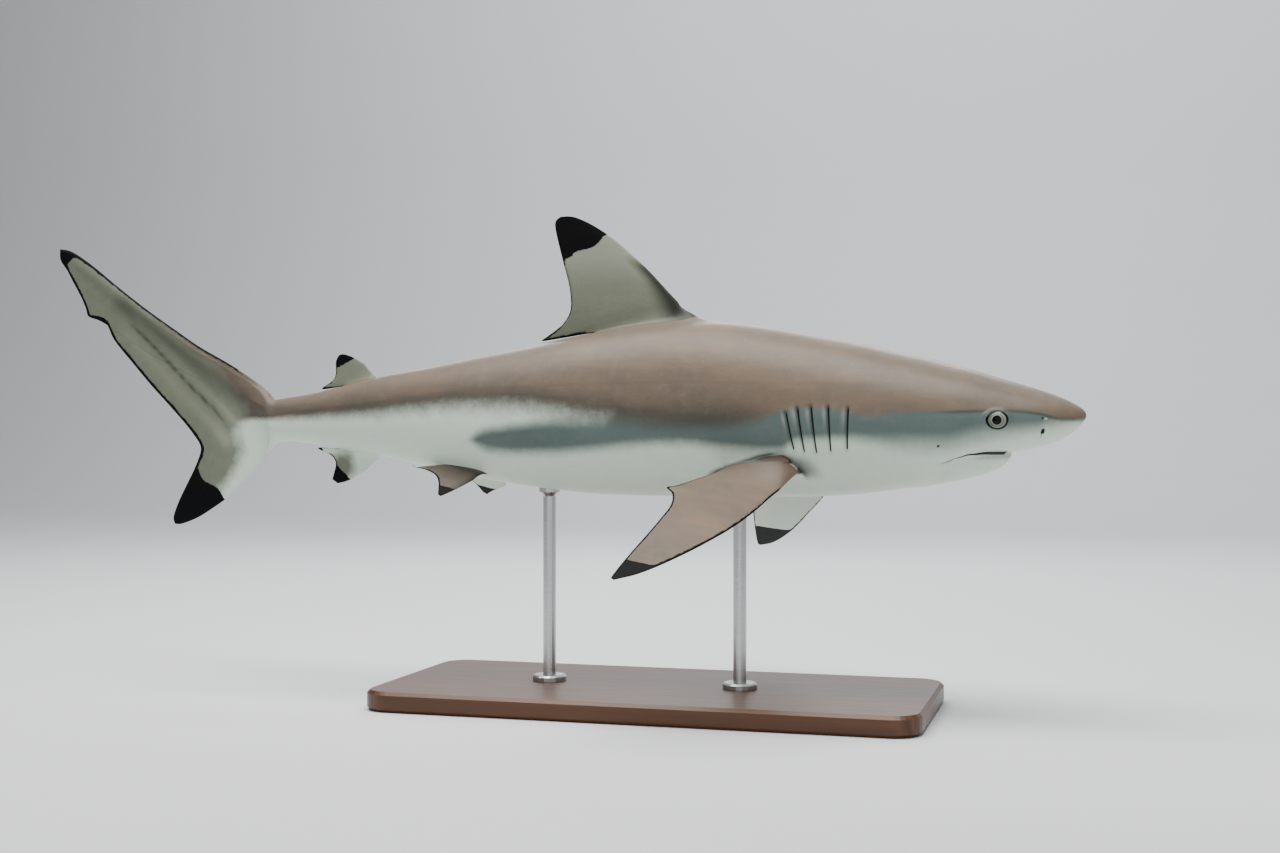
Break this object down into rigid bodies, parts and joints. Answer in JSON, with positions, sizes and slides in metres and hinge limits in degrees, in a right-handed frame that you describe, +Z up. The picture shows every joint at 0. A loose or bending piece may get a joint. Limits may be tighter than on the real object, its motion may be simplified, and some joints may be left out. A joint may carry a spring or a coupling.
{
  "type": "blacktip reef shark model on a display stand",
  "caption": "Life-size still model of a blacktip reef shark, held level in its swimming pose above a flat wooden base by short steel rods",
  "frame": {"origin": "centre of the stand base's underside, on the floor", "axes": "+X toward the shark's head, +Y toward the shark's left side, +Z up"},
  "size_m": [1.3374, 0.6221, 0.5955],
  "materials": {
    "skin": "moist, finely toothed shark skin, brown-grey above and off-white below, with black fin tips",
    "eye": "wet clear cornea over a pale iris and a round black pupil",
    "wood": "satin varnished hardwood",
    "steel": "brushed"
  },
  "bodies": {
    "root": {"head": "skin", "lower_jaw": "skin", "trunk": "skin", "tail_stalk": "skin", "first_dorsal_fin": "skin", "second_dorsal_fin": "skin", "anal_fin": "skin", "pectoral_fin_left": "skin", "pectoral_fin_right": "skin", "pelvic_fin_left": "skin", "pelvic_fin_right": "skin", "tail_fin_upper": "skin", "tail_fin_lower": "skin", "eye_left": "eye", "eye_right": "eye", "stand_base": "wood", "stand_rod_front": "steel", "stand_rod_rear": "steel"}
  },
  "joints": []
}
